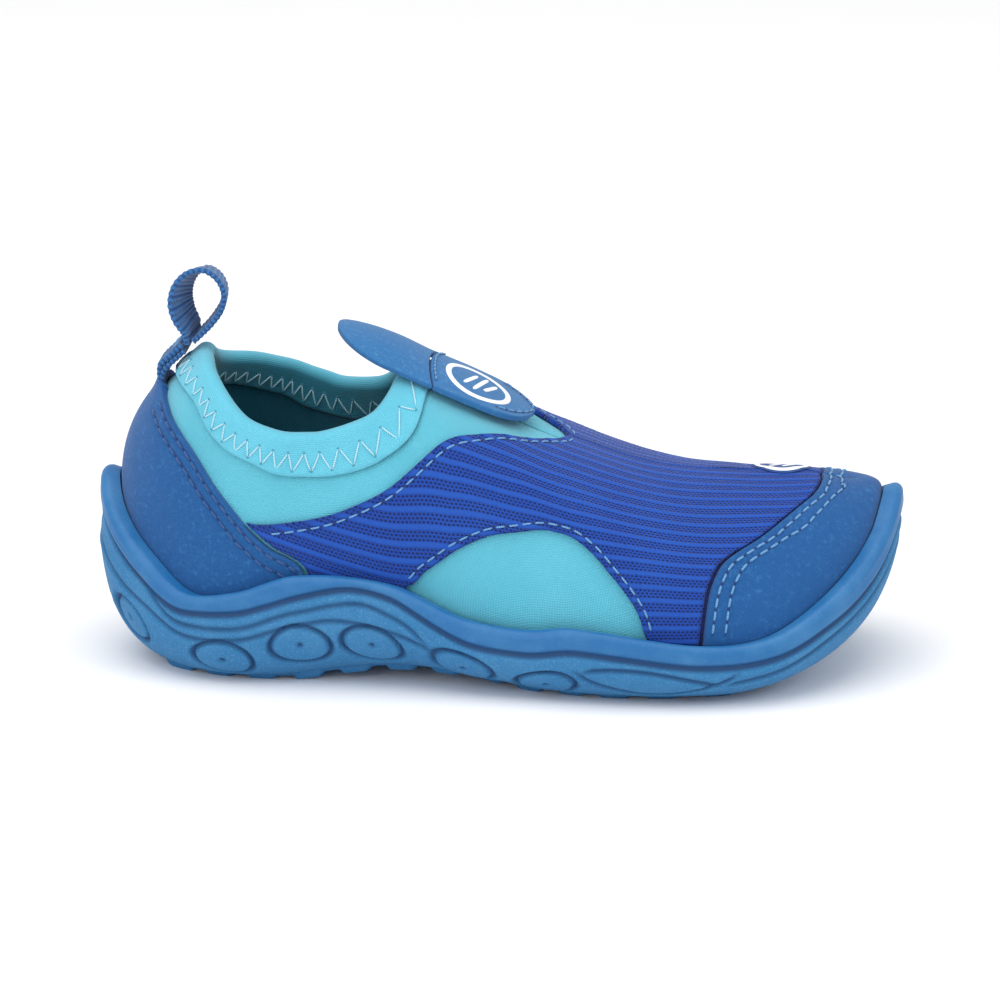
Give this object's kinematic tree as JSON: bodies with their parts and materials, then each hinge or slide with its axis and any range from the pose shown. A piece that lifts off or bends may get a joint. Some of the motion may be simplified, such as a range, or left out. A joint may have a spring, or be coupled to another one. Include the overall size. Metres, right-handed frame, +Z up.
{
  "type": "water shoe",
  "caption": "Child's low-cut slip-on water shoe, right foot: neoprene and mesh upper on a wavy cup sole, with a heel pull loop and a tongue pull tab.",
  "frame": {"origin": "on the ground, at the middle of the shoe's bounding box", "axes": "+X from heel to toe, +Y towards the medial side of the foot, +Z up"},
  "size_m": [0.16, 0.0666, 0.0801],
  "materials": {
    "tpr": "satin moulded thermoplastic rubber, finely stippled",
    "strobel": "stitched non-woven board",
    "foam": "closed-cell foam",
    "footbed_jersey": "knitted cloth",
    "neoprene": "neoprene faced with knitted jersey",
    "backing": "foam-backed knit",
    "mesh": "ribbed mesh with rows of holes",
    "microfibre": "suede-like coated microfibre",
    "tab_microfibre": "suede-like coated microfibre, light blue",
    "binding": "stretch binding",
    "webbing": "ribbed webbing",
    "pale_thread": "pale sewing thread",
    "blue_thread": "mid-blue sewing thread",
    "navy_thread": "navy sewing thread",
    "badge": "white rubberised print"
  },
  "bodies": {
    "shoe": {"outsole": "tpr", "strobel_board": "strobel", "footbed_foam": "foam", "footbed_cloth": "footbed_jersey", "neoprene_lateral": "neoprene", "neoprene_medial": "neoprene", "vamp_backing": "backing", "vamp_mesh": "mesh", "toe_cap": "microfibre", "heel_counter": "microfibre", "collar_binding": "binding", "collar_zigzag": "pale_thread", "lining_zigzag": "pale_thread", "heel_loop_base": "webbing", "loop_bartack": "pale_thread", "tongue_patch": "tab_microfibre", "tongue_badge": "badge", "vamp_badge": "badge", "toe_cap_stitching": "blue_thread", "heel_counter_stitching": "navy_thread", "mesh_stitching": "blue_thread", "window_stitching": "blue_thread", "patch_stitching": "blue_thread", "tab_seam": "blue_thread", "strobel_seam": "pale_thread"},
    "heel_loop": {"heel_loop": "webbing"},
    "pull_tab": {"pull_tab": "tab_microfibre"}
  },
  "joints": [
    {"name": "loop_swing", "type": "hinge", "parent": "shoe", "child": "heel_loop", "pos_m": [-0.06109, -0.00157, 0.06557], "axis": [0, 1, 0], "range_deg": [-40, 40], "stiffness_Nm_per_rad": 0.002},
    {"name": "tab_lift", "type": "hinge", "parent": "shoe", "child": "pull_tab", "pos_m": [-0.01448, -0.00156, 0.06239], "axis": [0, 1, 0], "range_deg": [-3, 55], "stiffness_Nm_per_rad": 0.004}
  ]
}
